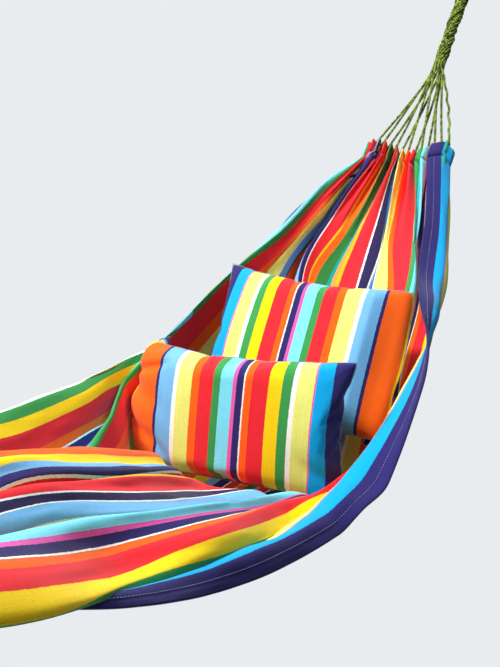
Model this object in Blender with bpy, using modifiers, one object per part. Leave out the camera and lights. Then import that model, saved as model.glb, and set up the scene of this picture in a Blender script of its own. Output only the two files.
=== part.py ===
"""A gathered-end cloth hammock with cord clews and two pillows lying in it.

The frame: +X runs from the foot end to the head end, +Y to the far side and
+Z up. The origin is the point inside the head eye where the hook carries it,
and the foot eye hangs level with it at -X.
"""
import math

import bmesh
import bpy
import numpy as np
from mathutils import Matrix, Vector

# Hammock, metres
EYE_SPAN = 2.66             # hook to hook
CLOTH_THICKNESS = 0.0024    # cloth and the little it stands off itself
HEM_X = 0.448               # the gathered hem, in from the eye
HEM_Z = -0.452              # and below it
HEM_HALF_WIDTH = 0.085
HEM_CROWN = 0.012           # the middle of the gather lies lower than its sides
CHANNEL_LENGTH = 0.038      # sleeve of cloth that the header cord runs through
CHANNEL_GAP = 0.010         # clear height inside it

# Cords, metres
CORD = 0.0060               # one strand of the clew
STRANDS = 12
HEADER_CORD = 0.0060
RING = 0.0135               # the strands gather on this radius
BUNDLE = 0.0115             # radius that the strands twist on
BUNDLE_START = 0.300        # from the hook point, down the clew's line
BUNDLE_END = 0.124
WHIPPING = 0.0160           # outer radius of the binding on the eye's neck
WHIPPING_LENGTH = 0.028
EYE_CORD = 0.0058           # radius of the rope in the eye
EYE_CURVE = 0.022           # radius that the crown of the eye bends to
EYE_NECK = 0.090            # where both legs of the eye meet
EYE_SHOULDER = math.radians(105)    # turn of the crown, to either side of its top
SLEEVE_BORE = 0.0088        # loose wear sleeve on the crown
SLEEVE_OUTER = 0.0106
SLEEVE_HALF_ANGLE = math.radians(17)

# Pillows, metres
PILLOW_PINCH = 0.07         # how far the sides pull in between the corners
PILLOW_CROWN = 0.42         # how full the face is: 0 flat, 1 peaked
FILLING_CLEARANCE = 0.012   # all round, inside the cover
FILLING_SHORTER = 0.070     # than the cover, end to end
COVER_THICKNESS = 0.0018
ZIP_HALF_LENGTH = 0.085
ZIP_GAP = 0.010             # width of the slit that the zip closes
ZIP_TAPE = 0.0012           # thickness of its tape
ZIP_TAPE_WIDTH = 0.0080
SLIDER = (0.0052, 0.0110, 0.0022)
SLIDER_START = 0.008        # in from the end of the zip, when it is closed

# Each pillow: its filled size, centre, lean back toward the head end, turn and roll, and where
# one end bends back against the cloth and how tightly
FRONT_PILLOW = ((0.352, 0.222, 0.096), (-1.122, 0.052, -0.804), 15, 8, -1, (0.122, 0.060))
BACK_PILLOW = ((0.360, 0.268, 0.084), (-0.945, 0.008, -0.748), 34, 2, 0.5, (-0.125, 0.060))
PILLOW_COLUMNS = 18
PILLOW_ROWS = 10

GAP = 0.0003                # between pieces that touch

# The cloth is 0.90 wide laid flat. Its cross-sections run from foot to head: the
# section's x, then points (share of the width from the far side hem, y, z) along it.
SECTIONS = [
    (-1.95, [(0.000, 0.140, -0.590), (0.086, 0.150, -0.535), (0.209, 0.110, -0.570),
             (0.285, 0.085, -0.615), (0.386, 0.060, -0.535), (0.485, 0.035, -0.600),
             (0.580, 0.010, -0.535), (0.637, -0.005, -0.560), (0.707, -0.028, -0.605),
             (0.764, -0.050, -0.545), (0.846, -0.100, -0.560), (0.913, -0.125, -0.590),
             (1.000, -0.150, -0.575)]),
    (-1.72, [(0.000, 0.205, -0.725), (0.086, 0.216, -0.662), (0.190, 0.165, -0.700),
             (0.281, 0.115, -0.755), (0.386, 0.090, -0.665), (0.490, 0.052, -0.725),
             (0.576, 0.022, -0.660), (0.637, -0.012, -0.678), (0.709, -0.030, -0.725),
             (0.764, -0.062, -0.668), (0.821, -0.112, -0.674), (0.852, -0.130, -0.688),
             (0.878, -0.144, -0.704), (0.913, -0.160, -0.690), (0.960, -0.178, -0.692),
             (1.000, -0.193, -0.680)]),
    (-1.57, [(0.000, 0.232, -0.775), (0.086, 0.246, -0.706), (0.125, 0.230, -0.720),
             (0.190, 0.190, -0.760), (0.281, 0.140, -0.815), (0.352, 0.115, -0.750),
             (0.386, 0.091, -0.698), (0.475, 0.040, -0.712), (0.513, 0.045, -0.765),
             (0.570, 0.012, -0.712), (0.625, -0.010, -0.726), (0.660, -0.028, -0.738),
             (0.709, -0.034, -0.785), (0.760, -0.050, -0.733), (0.806, -0.074, -0.757),
             (0.850, -0.104, -0.772), (0.875, -0.119, -0.786), (0.897, -0.132, -0.800),
             (0.920, -0.137, -0.786), (0.964, -0.156, -0.784), (1.000, -0.176, -0.777)]),
    (-1.42, [(0.000, 0.250, -0.820), (0.080, 0.263, -0.748), (0.114, 0.246, -0.762),
             (0.150, 0.225, -0.788), (0.200, 0.195, -0.835), (0.276, 0.155, -0.885),
             (0.346, 0.130, -0.820), (0.386, 0.100, -0.758), (0.441, 0.060, -0.768),
             (0.475, 0.034, -0.778), (0.513, 0.040, -0.835), (0.555, 0.012, -0.774),
             (0.601, -0.016, -0.786), (0.625, -0.032, -0.792), (0.660, -0.054, -0.803),
             (0.709, -0.064, -0.860), (0.759, -0.078, -0.790), (0.783, -0.088, -0.795),
             (0.821, -0.110, -0.808), (0.850, -0.123, -0.822), (0.873, -0.130, -0.832),
             (0.894, -0.136, -0.846), (0.916, -0.142, -0.829), (0.964, -0.166, -0.834),
             (1.000, -0.185, -0.846)]),
    (-1.25, [(0.000, 0.268, -0.838), (0.076, 0.272, -0.764), (0.114, 0.253, -0.777),
             (0.150, 0.240, -0.803), (0.181, 0.233, -0.833), (0.213, 0.222, -0.850),
             (0.247, 0.198, -0.806), (0.285, 0.186, -0.850), (0.335, 0.158, -0.925),
             (0.386, 0.121, -0.850), (0.441, 0.090, -0.858), (0.475, 0.068, -0.864),
             (0.513, 0.060, -0.900), (0.555, 0.040, -0.868), (0.601, 0.014, -0.880),
             (0.660, -0.025, -0.892), (0.709, -0.055, -0.930), (0.759, -0.082, -0.862),
             (0.787, -0.093, -0.874), (0.821, -0.104, -0.868), (0.850, -0.118, -0.880),
             (0.869, -0.126, -0.892), (0.888, -0.138, -0.902), (0.909, -0.138, -0.886),
             (0.932, -0.150, -0.880), (0.964, -0.178, -0.866), (1.000, -0.209, -0.853)]),
    (-1.14, [(0.000, 0.262, -0.835), (0.086, 0.263, -0.757), (0.114, 0.253, -0.770),
             (0.156, 0.250, -0.800), (0.200, 0.262, -0.818), (0.247, 0.248, -0.782),
             (0.285, 0.245, -0.840), (0.333, 0.230, -0.920), (0.386, 0.180, -0.965),
             (0.456, 0.100, -0.968), (0.513, 0.060, -0.966), (0.614, 0.000, -0.955),
             (0.709, -0.085, -0.955), (0.759, -0.120, -0.915), (0.806, -0.137, -0.895),
             (0.837, -0.148, -0.870), (0.856, -0.160, -0.882), (0.880, -0.170, -0.893),
             (0.905, -0.163, -0.876), (0.935, -0.168, -0.850), (0.964, -0.196, -0.842),
             (1.000, -0.235, -0.833)]),
    (-0.98, [(0.000, 0.268, -0.800), (0.076, 0.262, -0.745), (0.162, 0.246, -0.780),
             (0.241, 0.226, -0.703), (0.283, 0.226, -0.765), (0.329, 0.220, -0.850),
             (0.380, 0.182, -0.915), (0.456, 0.095, -0.950), (0.570, 0.000, -0.955),
             (0.684, -0.102, -0.938), (0.760, -0.162, -0.895), (0.850, -0.186, -0.840),
             (0.901, -0.186, -0.802), (0.933, -0.188, -0.776), (0.964, -0.210, -0.755),
             (1.000, -0.228, -0.716)]),
    (-0.85, [(0.000, 0.232, -0.745), (0.076, 0.245, -0.700), (0.162, 0.230, -0.735),
             (0.241, 0.205, -0.641), (0.283, 0.198, -0.685), (0.329, 0.178, -0.745),
             (0.375, 0.140, -0.790), (0.456, 0.075, -0.822), (0.570, 0.000, -0.832),
             (0.684, -0.075, -0.820), (0.760, -0.122, -0.798), (0.846, -0.165, -0.792),
             (0.890, -0.187, -0.765), (0.916, -0.185, -0.735), (0.945, -0.204, -0.684),
             (0.973, -0.192, -0.664), (1.000, -0.171, -0.657)]),
    (-0.72, [(0.000, 0.198, -0.610), (0.076, 0.206, -0.660), (0.162, 0.190, -0.680),
             (0.238, 0.164, -0.574), (0.283, 0.153, -0.603), (0.338, 0.143, -0.626),
             (0.380, 0.152, -0.670), (0.418, 0.144, -0.705), (0.456, 0.124, -0.655),
             (0.479, 0.114, -0.662), (0.532, 0.091, -0.686), (0.567, 0.043, -0.702),
             (0.622, -0.015, -0.710), (0.643, -0.024, -0.742), (0.665, -0.036, -0.707),
             (0.715, -0.082, -0.692), (0.759, -0.117, -0.663), (0.806, -0.135, -0.690),
             (0.856, -0.162, -0.712), (0.903, -0.180, -0.685), (0.941, -0.173, -0.646),
             (1.000, -0.128, -0.631)]),
    (-0.60, [(0.000, 0.150, -0.515), (0.057, 0.160, -0.570), (0.114, 0.156, -0.615),
             (0.171, 0.145, -0.575), (0.236, 0.129, -0.502), (0.283, 0.122, -0.520),
             (0.323, 0.116, -0.540), (0.365, 0.131, -0.575), (0.407, 0.125, -0.605),
             (0.449, 0.105, -0.572), (0.464, 0.108, -0.553), (0.510, 0.082, -0.578),
             (0.551, 0.056, -0.597), (0.601, 0.017, -0.606), (0.624, -0.008, -0.610),
             (0.646, -0.008, -0.644), (0.669, -0.014, -0.609), (0.715, -0.034, -0.604),
             (0.743, -0.074, -0.585), (0.770, -0.084, -0.590), (0.806, -0.100, -0.612),
             (0.856, -0.132, -0.628), (0.903, -0.152, -0.602), (0.941, -0.145, -0.567),
             (1.000, -0.098, -0.544)]),
    (-0.52, [(0.000, 0.120, -0.462), (0.057, 0.135, -0.500), (0.114, 0.130, -0.540),
             (0.171, 0.120, -0.508), (0.236, 0.109, -0.455), (0.283, 0.103, -0.468),
             (0.327, 0.099, -0.480), (0.369, 0.112, -0.505), (0.409, 0.106, -0.532),
             (0.447, 0.093, -0.506), (0.462, 0.096, -0.484), (0.510, 0.071, -0.511),
             (0.551, 0.050, -0.522), (0.601, 0.024, -0.527), (0.624, 0.012, -0.530),
             (0.646, 0.010, -0.556), (0.669, 0.006, -0.530), (0.715, -0.018, -0.530),
             (0.743, -0.050, -0.527), (0.770, -0.064, -0.530), (0.806, -0.078, -0.550),
             (0.856, -0.104, -0.565), (0.903, -0.124, -0.553), (0.941, -0.124, -0.527),
             (1.000, -0.073, -0.513)]),
]
CLOTH_COLUMNS = 60
CLOTH_ROWS = 36

NAME = "cloth_hammock"


def start_empty():
    for obj in list(bpy.data.objects):
        bpy.data.objects.remove(obj, do_unlink=True)


def collection_named(name):
    found = bpy.data.collections.new(name)
    bpy.context.scene.collection.children.link(found)
    return found


def material(name, colour, roughness, metallic=0.0):
    made = bpy.data.materials.new(name)
    made.use_nodes = True
    shader = made.node_tree.nodes["Principled BSDF"]
    shader.inputs["Base Color"].default_value = (*colour, 1.0)
    shader.inputs["Roughness"].default_value = roughness
    shader.inputs["Metallic"].default_value = metallic
    return made


def place(obj, finish, parent=None):
    """Put an object in the part's collection with its finish."""
    part.objects.link(obj)
    obj.data.materials.append(finish)
    if parent is not None:
        obj.parent = parent
    return obj


def mesh_object(name, verts, faces, finish, parent=None):
    mesh = bpy.data.meshes.new(name)
    mesh.from_pydata([tuple(v) for v in verts], [], faces)
    shape = bmesh.new()
    shape.from_mesh(mesh)
    bmesh.ops.recalc_face_normals(shape, faces=shape.faces)
    shape.to_mesh(mesh)
    shape.free()
    mesh.shade_smooth()
    return place(bpy.data.objects.new(name, mesh), finish, parent)


def pivot(name, point):
    empty = bpy.data.objects.new(name, None)
    empty.location = point
    part.objects.link(empty)
    return empty


def tube(name, points, radius, finish, parent=None, resolution=2, closed=False):
    """A round cord along the points."""
    curve = bpy.data.curves.new(name, "CURVE")
    curve.dimensions = "3D"
    curve.bevel_depth = radius
    curve.bevel_resolution = resolution
    curve.resolution_u = 1
    curve.render_resolution_u = 0
    curve.use_fill_caps = not closed
    spline = curve.splines.new("POLY")
    spline.points.add(len(points) - 1)
    spline.use_cyclic_u = closed
    for target, point in zip(spline.points, points):
        target.co = (*point, 1.0)
    return place(bpy.data.objects.new(name, curve), finish, parent)


def smooth_through(knots, values, at):
    """A smooth curve through the values at the knots, read at one place."""
    knots = np.asarray(knots, float)
    values = np.asarray(values, float)
    slopes = np.empty_like(values)
    slopes[1:-1] = (values[2:] - values[:-2]) / (knots[2:] - knots[:-2])[:, None]
    slopes[0] = (values[1] - values[0]) / (knots[1] - knots[0])
    slopes[-1] = (values[-1] - values[-2]) / (knots[-1] - knots[-2])
    i = int(np.clip(np.searchsorted(knots, at, side="right") - 1, 0, len(knots) - 2))
    step = knots[i + 1] - knots[i]
    t = (at - knots[i]) / step
    return ((2 * t**3 - 3 * t**2 + 1) * values[i] + (t**3 - 2 * t**2 + t) * step * slopes[i]
            + (3 * t**2 - 2 * t**3) * values[i + 1] + (t**3 - t**2) * step * slopes[i + 1])


def hem_point(share, head):
    """A point of the gathered hem, by its share of the width."""
    x = -HEM_X if head else HEM_X - EYE_SPAN
    y = HEM_HALF_WIDTH * (1 - 2 * share)
    z = HEM_Z + HEM_CROWN * math.cos(2 * math.pi * share)
    return (x, y, z)


def cloth_grid(columns, rows):
    """The lying cloth as rows of points from the foot hem to the head hem."""
    shares = [i / columns for i in range(columns + 1)]
    places = [HEM_X - EYE_SPAN] + [x for x, _ in SECTIONS] + [-HEM_X]
    lines = []
    for share in shares:
        points = [hem_point(share, head=False)]
        for x, section in SECTIONS:
            knots = [p[0] for p in section]
            y, z = smooth_through(knots, [p[1:] for p in section], share)
            points.append((x, y, z))
        points.append(hem_point(share, head=True))
        xs = [places[0] + (places[-1] - places[0]) * j / rows for j in range(rows + 1)]
        lines.append([Vector(smooth_through(places, points, x)) for x in xs])
    return [[line[j] for line in lines] for j in range(rows + 1)]


def grid_faces(rows, columns, first=0):
    wide = columns + 1
    return [(first + j * wide + i, first + j * wide + i + 1,
             first + (j + 1) * wide + i + 1, first + (j + 1) * wide + i)
            for j in range(rows) for i in range(columns)]


def solidify(obj, thickness, offset):
    shell = obj.modifiers.new("thickness", "SOLIDIFY")
    shell.thickness = thickness
    shell.offset = offset
    shell.use_even_offset = False
    return shell


def build_cloth():
    grid = cloth_grid(CLOTH_COLUMNS, CLOTH_ROWS)
    verts = [point for row in grid for point in row]
    bed = mesh_object("bed_cloth", verts, grid_faces(CLOTH_ROWS, CLOTH_COLUMNS), cloth_finish, swing)
    solidify(bed, CLOTH_THICKNESS, 0.0)


def clew_frame(head):
    """The hook point of one end, and the direction from it down the clew."""
    if head:
        hook = Vector((0, 0, 0))
        down = Vector((-HEM_X, 0, HEM_Z)).normalized()
    else:
        hook = Vector((-EYE_SPAN, 0, 0))
        down = Vector((HEM_X, 0, HEM_Z)).normalized()
    return hook, down, Vector((0, 1, 0)).cross(down)


def build_channel(end, head):
    """The hem folded back over the header cord: an open hairpin of cloth."""
    down, across = clew_frame(head)[1:]
    stations = 12
    bend = 6
    inside = CHANNEL_GAP / 2 + CLOTH_THICKNESS / 2
    verts = []
    for i in range(stations + 1):
        share = i / stations
        edge = Vector(hem_point(share, head)) - down * (CLOTH_THICKNESS / 2 + 2 * GAP)
        top = edge - down * (CHANNEL_LENGTH - inside)
        verts.append(edge + across * inside)
        for k in range(bend + 1):
            turn = math.pi * k / bend
            verts.append(top + (across * math.cos(turn) - down * math.sin(turn)) * inside)
        verts.append(edge - across * inside)
    faces = grid_faces(stations, bend + 2)
    channel = mesh_object(f"{end}_hem_channel", verts, faces, cloth_finish, swing)
    solidify(channel, CLOTH_THICKNESS, 0.0)
    centre = [Vector(hem_point(i / stations, head)) - down * (CHANNEL_LENGTH - CHANNEL_GAP)
              for i in range(stations + 1)]
    tube(f"{end}_header_cord", centre, HEADER_CORD / 2, cord_finish, swing)


def build_strands(end, head):
    """The clew: strands from the channel to a ring where they gather."""
    hook, down, across = clew_frame(head)
    meet = hook + down * (BUNDLE_START + 4 * GAP)
    for i in range(STRANDS):
        share = (i + 0.5) / STRANDS
        above_hem = CHANNEL_LENGTH + CLOTH_THICKNESS + 12 * GAP
        start = Vector(hem_point(share, head)) - down * above_hem
        upper = 1 if i % 2 else -1
        turn = math.pi * share
        around = Vector((0, math.cos(turn), 0)) + across * upper * math.sin(turn)
        finish = meet + around * RING
        steps = 4
        points = [start.lerp(finish, k / steps) for k in range(steps + 1)]
        tube(f"{end}_clew_strand_{i + 1:02d}", points, CORD / 2, cord_finish, swing)


def build_bundle(end, head):
    """The strands twisted into one, its binding and the eye with its sleeve."""
    hook, down, across = clew_frame(head)
    side = Vector((0, 1, 0))
    bundle = [hook + down * BUNDLE_START, hook + down * BUNDLE_END]
    tube(f"{end}_clew_bundle", bundle, BUNDLE + CORD / 2, cord_finish, swing, resolution=3)
    neck = hook + down * (BUNDLE_END - GAP)
    binding = [neck, neck - down * WHIPPING_LENGTH]
    tube(f"{end}_eye_whipping", binding, WHIPPING, whipping_finish, swing, resolution=4)
    # The eye is one closed loop: round the crown and down both legs to the neck.
    crown = hook + down * (EYE_CURVE - EYE_CORD)
    leg = EYE_CORD + 2 * GAP
    foot = hook + down * (EYE_NECK - EYE_CORD - 1.5 * leg)
    steps = 12
    loop = []
    for k in range(steps + 1):
        turn = EYE_SHOULDER * (2 * k / steps - 1)
        loop.append(crown + (side * math.sin(turn) - down * math.cos(turn)) * EYE_CURVE)
    for k in range(steps // 2 + 1):
        turn = math.radians(60 - 120 * 2 * k / steps)
        loop.append(foot + side * leg * math.sin(turn) + down * 1.5 * leg * math.cos(turn))
    tube(f"{end}_eye", loop, EYE_CORD, cord_finish, swing, resolution=3, closed=True)
    build_sleeve(end, crown, down, side)


def build_sleeve(end, crown, down, side):
    """A short loose tube round the crown of the eye."""
    around = 16
    along = 4
    verts = []
    for k in range(along + 1):
        turn = SLEEVE_HALF_ANGLE * (2 * k / along - 1)
        outward = side * math.sin(turn) - down * math.cos(turn)
        middle = crown + outward * EYE_CURVE
        flat = side.cross(down)
        for i in range(around):
            angle = 2 * math.pi * i / around
            verts.append(middle + (outward * math.cos(angle) + flat * math.sin(angle)) * SLEEVE_BORE)
    faces = [(k * around + i, k * around + (i + 1) % around,
              (k + 1) * around + (i + 1) % around, (k + 1) * around + i)
             for k in range(along) for i in range(around)]
    sleeve = mesh_object(f"{end}_eye_sleeve", verts, faces, sleeve_finish, hooks)
    solidify(sleeve, SLEEVE_OUTER - SLEEVE_BORE, 1.0)


def pillow_point(a, b, face, size, inset=0.0):
    """A point of the filled pillow; a and b run from -1 to 1 over its face."""
    width, height, thickness = size
    wide = (width / 2 - inset) * a * (1 - PILLOW_PINCH * (1 - b**2))
    high = (height / 2 - inset) * b * (1 - PILLOW_PINCH * (1 - a**6))
    crown = max(0.0, (1 - a**2) * (1 - b**2)) ** PILLOW_CROWN
    return Vector((face * (thickness / 2 - inset) * crown, wide, high))


def bent(point, bend):
    """Bend the end of a pillow that lies past a place along it back round an upright axis."""
    start, radius = bend
    past = max(0.0, (point.y - start) * math.copysign(1, start))
    turn = past / radius
    if past == 0:
        return point
    reach = radius - point.x
    along = start + math.copysign(1, start) * reach * math.sin(turn)
    return Vector((radius - reach * math.cos(turn), along, point.z))


def slit_width(a, b, width):
    """Half the opening of the zip's slit, which closes off past its ends."""
    beyond = (abs(a) * width / 2 - ZIP_HALF_LENGTH - ZIP_GAP) / (2 * ZIP_GAP)
    return ZIP_GAP / 2 * min(1.0, max(0.0, 1.1 - beyond)) * max(0.0, -b) ** 6


def pillow_steps(count):
    """Steps from -1 to 1 that close up toward the seams."""
    return [math.sin(math.pi / 2 * (2 * i / count - 1)) for i in range(count + 1)]


def build_pillow(name, size, centre, lean, turn, roll, bend):
    """One pillow: a cover with a zip at its lower edge, and its filling."""
    pose = Matrix.Translation(centre)
    for degrees, axis in ((turn, "Z"), (roll, "X"), (lean, "Y")):
        pose = pose @ Matrix.Rotation(math.radians(degrees), 4, axis)
    parent = pivot(name, (0, 0, 0))
    parent.matrix_world = pose
    columns = pillow_steps(PILLOW_COLUMNS)
    rows = pillow_steps(PILLOW_ROWS)
    verts = []
    faces = []
    for face in (-1, 1):
        first = len(verts)
        for b in rows:
            for a in columns:
                point = pillow_point(a, b, face, size)
                point.x = face * max(abs(point.x), slit_width(a, b, size[0]))
                verts.append(bent(point, bend))
        faces += grid_faces(PILLOW_ROWS, PILLOW_COLUMNS, first)
    cover = mesh_object(f"{name}_cover", verts, faces, cover_finish, parent)
    shape = bmesh.new()
    shape.from_mesh(cover.data)
    bmesh.ops.remove_doubles(shape, verts=shape.verts, dist=0.0001)
    bmesh.ops.recalc_face_normals(shape, faces=shape.faces)
    shape.to_mesh(cover.data)
    shape.free()
    solidify(cover, COVER_THICKNESS, -1.0)

    filling = bpy.data.meshes.new(f"{name}_filling")
    shape = bmesh.new()
    bmesh.ops.create_uvsphere(shape, u_segments=20, v_segments=12, radius=1.0)
    filled = (size[0] - FILLING_SHORTER, size[1], size[2])
    for vert in shape.verts:
        round_to_square = math.hypot(*vert.co.yz) / max(*map(abs, vert.co.yz), 1e-6)
        a, b = vert.co.yz * round_to_square
        face = 1 if vert.co.x >= 0 else -1
        vert.co = bent(pillow_point(a, b, face, filled, FILLING_CLEARANCE), bend)
    bmesh.ops.recalc_face_normals(shape, faces=shape.faces)
    shape.to_mesh(filling)
    shape.free()
    place(bpy.data.objects.new(f"{name}_filling", filling), filling_finish, parent)
    build_zip(name, size[1], parent)


def box(name, size, centre, finish, parent):
    mesh = bpy.data.meshes.new(name)
    shape = bmesh.new()
    bmesh.ops.create_cube(shape, size=1.0)
    bmesh.ops.scale(shape, vec=size, verts=shape.verts)
    bmesh.ops.translate(shape, vec=centre, verts=shape.verts)
    shape.to_mesh(mesh)
    shape.free()
    return place(bpy.data.objects.new(name, mesh), finish, parent)


def build_zip(name, height, parent):
    """The zip's tape in the slit of the cover, and its slider below it."""
    edge = -height / 2 * (1 - PILLOW_PINCH)
    middle = edge + COVER_THICKNESS
    box(f"{name}_zip_tape", (ZIP_TAPE_WIDTH, 2 * ZIP_HALF_LENGTH, ZIP_TAPE), (0, 0, middle),
        zip_finish, parent)
    under = middle - ZIP_TAPE / 2 - 2 * GAP - SLIDER[2] / 2
    box(f"{name}_zip_slider", SLIDER, (0, SLIDER_START - ZIP_HALF_LENGTH, under),
        metal_finish, parent)


start_empty()
part = collection_named(NAME)
cloth_finish = material("striped_cotton", (0.85, 0.16, 0.12), 0.85)
cover_finish = material("striped_pillow_cotton", (0.90, 0.55, 0.10), 0.85)
filling_finish = material("white_filling", (0.88, 0.87, 0.84), 0.90)
cord_finish = material("green_cord", (0.30, 0.42, 0.06), 0.75)
whipping_finish = material("dark_green_twine", (0.15, 0.22, 0.04), 0.75)
sleeve_finish = material("wear_sleeve", (0.18, 0.14, 0.10), 0.60)
zip_finish = material("zip_tape", (0.08, 0.07, 0.25), 0.60)
metal_finish = material("nickel", (0.60, 0.60, 0.60), 0.35, 1.0)

hooks = pivot("hooks", (0, 0, 0))
swing = pivot("swing", (0, 0, 0))
build_cloth()
for end_name, is_head in (("head", True), ("foot", False)):
    build_channel(end_name, is_head)
    build_strands(end_name, is_head)
    build_bundle(end_name, is_head)
build_pillow("front_pillow", *FRONT_PILLOW)
build_pillow("back_pillow", *BACK_PILLOW)
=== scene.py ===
"""The looks of the cloth hammock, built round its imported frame."""
import math

import bpy
import numpy as np
from mathutils import Matrix, Vector


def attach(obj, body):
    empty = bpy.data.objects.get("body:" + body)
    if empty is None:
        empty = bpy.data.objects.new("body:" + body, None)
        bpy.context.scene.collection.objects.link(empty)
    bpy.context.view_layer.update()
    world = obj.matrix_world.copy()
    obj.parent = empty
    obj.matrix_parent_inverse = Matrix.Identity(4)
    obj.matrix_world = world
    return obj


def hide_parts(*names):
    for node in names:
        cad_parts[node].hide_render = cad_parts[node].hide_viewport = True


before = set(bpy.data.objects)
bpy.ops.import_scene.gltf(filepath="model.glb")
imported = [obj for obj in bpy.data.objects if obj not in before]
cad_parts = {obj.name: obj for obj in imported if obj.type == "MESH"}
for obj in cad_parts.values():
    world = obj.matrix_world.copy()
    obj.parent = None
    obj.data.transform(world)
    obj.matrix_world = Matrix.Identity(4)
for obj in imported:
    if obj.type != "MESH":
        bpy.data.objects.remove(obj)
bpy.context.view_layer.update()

# ---------------------------------------------------------------- sizes, metres
CLOTH_WIDTH = 0.90
CLOTH_UNITS = 526.0             # the stripe pattern's own units across the cloth
UNIT = CLOTH_WIDTH / CLOTH_UNITS
CLOTH_THICKNESS = 0.0013
SIDE_HEM = 0.012
SIDE_HEM_LAYERS = 2.6           # how much thicker the folded and sewn side hem is
PLEATS = 12
PLEAT_REACH = 0.30              # they die out this far from the gathered hem
WRINKLE_FADE = 0.10             # creases die out this near to the gathered hem
# Creases, soft dents and fine wrinkles: how many along and across the cloth, seed, depth
WRINKLES = [((14, 46), 3, 0.0022), ((22, 12), 7, 0.0028), ((60, 90), 11, 0.0006)]
STITCH = (0.0034, 0.0016)       # one stitch and the gap after it
BED_COLUMNS = 264
BED_ROWS = 330
HEM_SEAM_COLUMN = 5             # the side hem's stitching runs this many columns in

EYE_SPAN = 2.66                 # from hook point to hook point
HEM_X = 0.448                   # the gathered hem, from its hook point
HEM_Z = -0.452
HEM_HALF_WIDTH = 0.085
HEM_CROWN = 0.012
BAND_DROP = 0.9                 # how steeply the hem falls past its gathered width, near side
FOLD_DROP = 0.5                 # how steeply it falls where it is folded out
CHANNEL_LENGTH = 0.038
CHANNEL_GAP = 0.010
CHANNEL_PUCKER = 0.0011

CORD = 0.006
CORD_LAY = 0.0135               # one full twist of the plies
PLY_SHARE = {2: 0.60, 3: 0.48}  # a ply's radius over the cord's, by the number of plies
PLY_OVERLAP = 1.04
HEADER_CORD = 0.0055
HEADER_LAY = 0.012
STRANDS = 12
RING = 0.0135                   # the strands' ring where the twist starts
BUNDLE_RING = 0.0115            # and further up
BUNDLE_START = 0.300            # distances down the clew from the hook point
BUNDLE_END = 0.124
BUNDLE_TURNS = 1.15
BUNDLE_UNEVEN = 0.0026
GATHER = 0.338                  # the strands come together here, below the twist
GATHER_RING = 0.0115
GATHER_TURN = 0.9               # radians they wind on between there and the twist
GATHER_SHARE = 0.86             # the part of a strand's route that lies below the gather
STRAND_ROUNDING = 14            # smoothing passes over the corner there
STRAND_SAG = (0.002, 0.003)     # the least, and what chance adds
STRAND_BOW = 0.003
SLACK_WAVE = (0.0016, 0.0020, 0.0)      # the near strand hangs slack and kinked
SLACK_SAG = (0.0, -0.008, -0.005)
SLACK_KINKS = 6.5
WHIPPING = 0.0160
WHIPPING_LENGTH = 0.028
WHIPPING_TURNS = 13
WHIPPING_LAY = 0.004
EYE_CORD = 0.0058               # half the eye rope's thickness
EYE_LAY = 0.022
EYE_CURVE = 0.022
EYE_NECK = 0.090
EYE_SHOULDER = math.radians(105)
NECK_OVAL = 1.5                 # the neck's bend is longer than it is wide
SLEEVE_BORE = 0.0088
SLEEVE_OUTER = 0.0106
SLEEVE_ROUNDING = (0.0006, 0.0004)      # of the outer and the inner edge
SLEEVE_HALF_ANGLE = math.radians(17)
SLEEVE_FLAT = (0.013, 0.060)
SIDEWAYS = np.array([0.0, 1.0, 0.0])

PILLOW_CUT = (0.428, 0.300)     # flat, seam to seam
PILLOW_BULGE = 0.012            # half its thickness before it is filled
PILLOW_COLUMNS = 84
PILLOW_ROWS = 58
PILLOW_PINCH = 0.07             # how far filling draws the long seams in
FILL_FRAMES = 20                # the filling run: frames, pressure, the cloth's stiffness,
FILL_PRESSURE = 4.0             # and how far a point may move
FILL_STIFFNESS = 15.0
FILL_LIMIT = 0.065
TIGHT_BEND = 0.02               # an end bent round a smaller radius is folded away flat
TUCKED_FLATTER = 0.72
TUCK_START = 0.035              # it starts to flatten this far before the bend
TUCK_REACH = 0.040
FILLING_SHARE = (0.80, 0.88, 0.86)      # of the cover's thickness, width and height
FILLING_LUMPS = 0.06
SEAM_CORD = 0.0016
SEAM_LAY = 0.006
COVER_THICKNESS = 0.0018
GAP = 0.0003
ZIP_HALF_LENGTH = 0.085
ZIP_TAPE = 0.0012
ZIP_TAPE_WIDTH = 0.0080
ZIP_TAPE_RIPPLE = 0.00018
COIL_PITCH = 0.0014
COIL_WIRE = 0.00028
SLIDER = (0.0052, 0.0110, 0.0022)
SLIDER_START = 0.008
SLIDER_WIRE = 0.00045
# The slider's outline from top to bottom: how wide, and how high as a share of its height
SLIDER_LEVELS = [(0.86, 0.5), (1.0, 0.34), (1.0, 0.16), (0.90, 0.06),
                 (0.90, -0.06), (1.0, -0.16), (1.0, -0.34), (0.86, -0.5)]

# Each pillow: (width, height, thickness), its middle, the angles in degrees by which it leans
# back, turns and rolls, and its bend (where along it, and the bend's radius)
FRONT_PILLOW = ((0.400, 0.228, 0.102), (-1.125, 0.046, -0.818), 15, 8, -1, (0.125, 0.034))
BACK_PILLOW = ((0.405, 0.285, 0.092), (-0.945, -0.008, -0.746), 34, 2, 0.5, (-0.138, 0.016))
# Soft dents: place along and up the pillow from -1 to 1, length, width, slant, depth in metres
FRONT_DENTS = [(0.66, -0.35, 0.34, 0.05, 1.0, 0.007), (0.70, 0.55, 0.22, 0.045, -0.7, 0.007),
               (0.78, 0.30, 0.30, 0.10, 0.9, 0.009), (-0.55, 0.80, 0.22, 0.06, 1.3, 0.005),
               (0.25, 0.86, 0.16, 0.05, 1.5, 0.004), (-0.80, -0.55, 0.22, 0.08, 0.9, 0.006)]
BACK_DENTS = [(-0.86, -0.40, 0.30, 0.10, 0.8, 0.010), (-0.70, -0.10, 0.28, 0.07, 1.2, 0.006),
              (0.60, 0.80, 0.20, 0.06, 1.4, 0.005), (-0.05, 0.84, 0.16, 0.05, 1.5, 0.004)]

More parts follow.
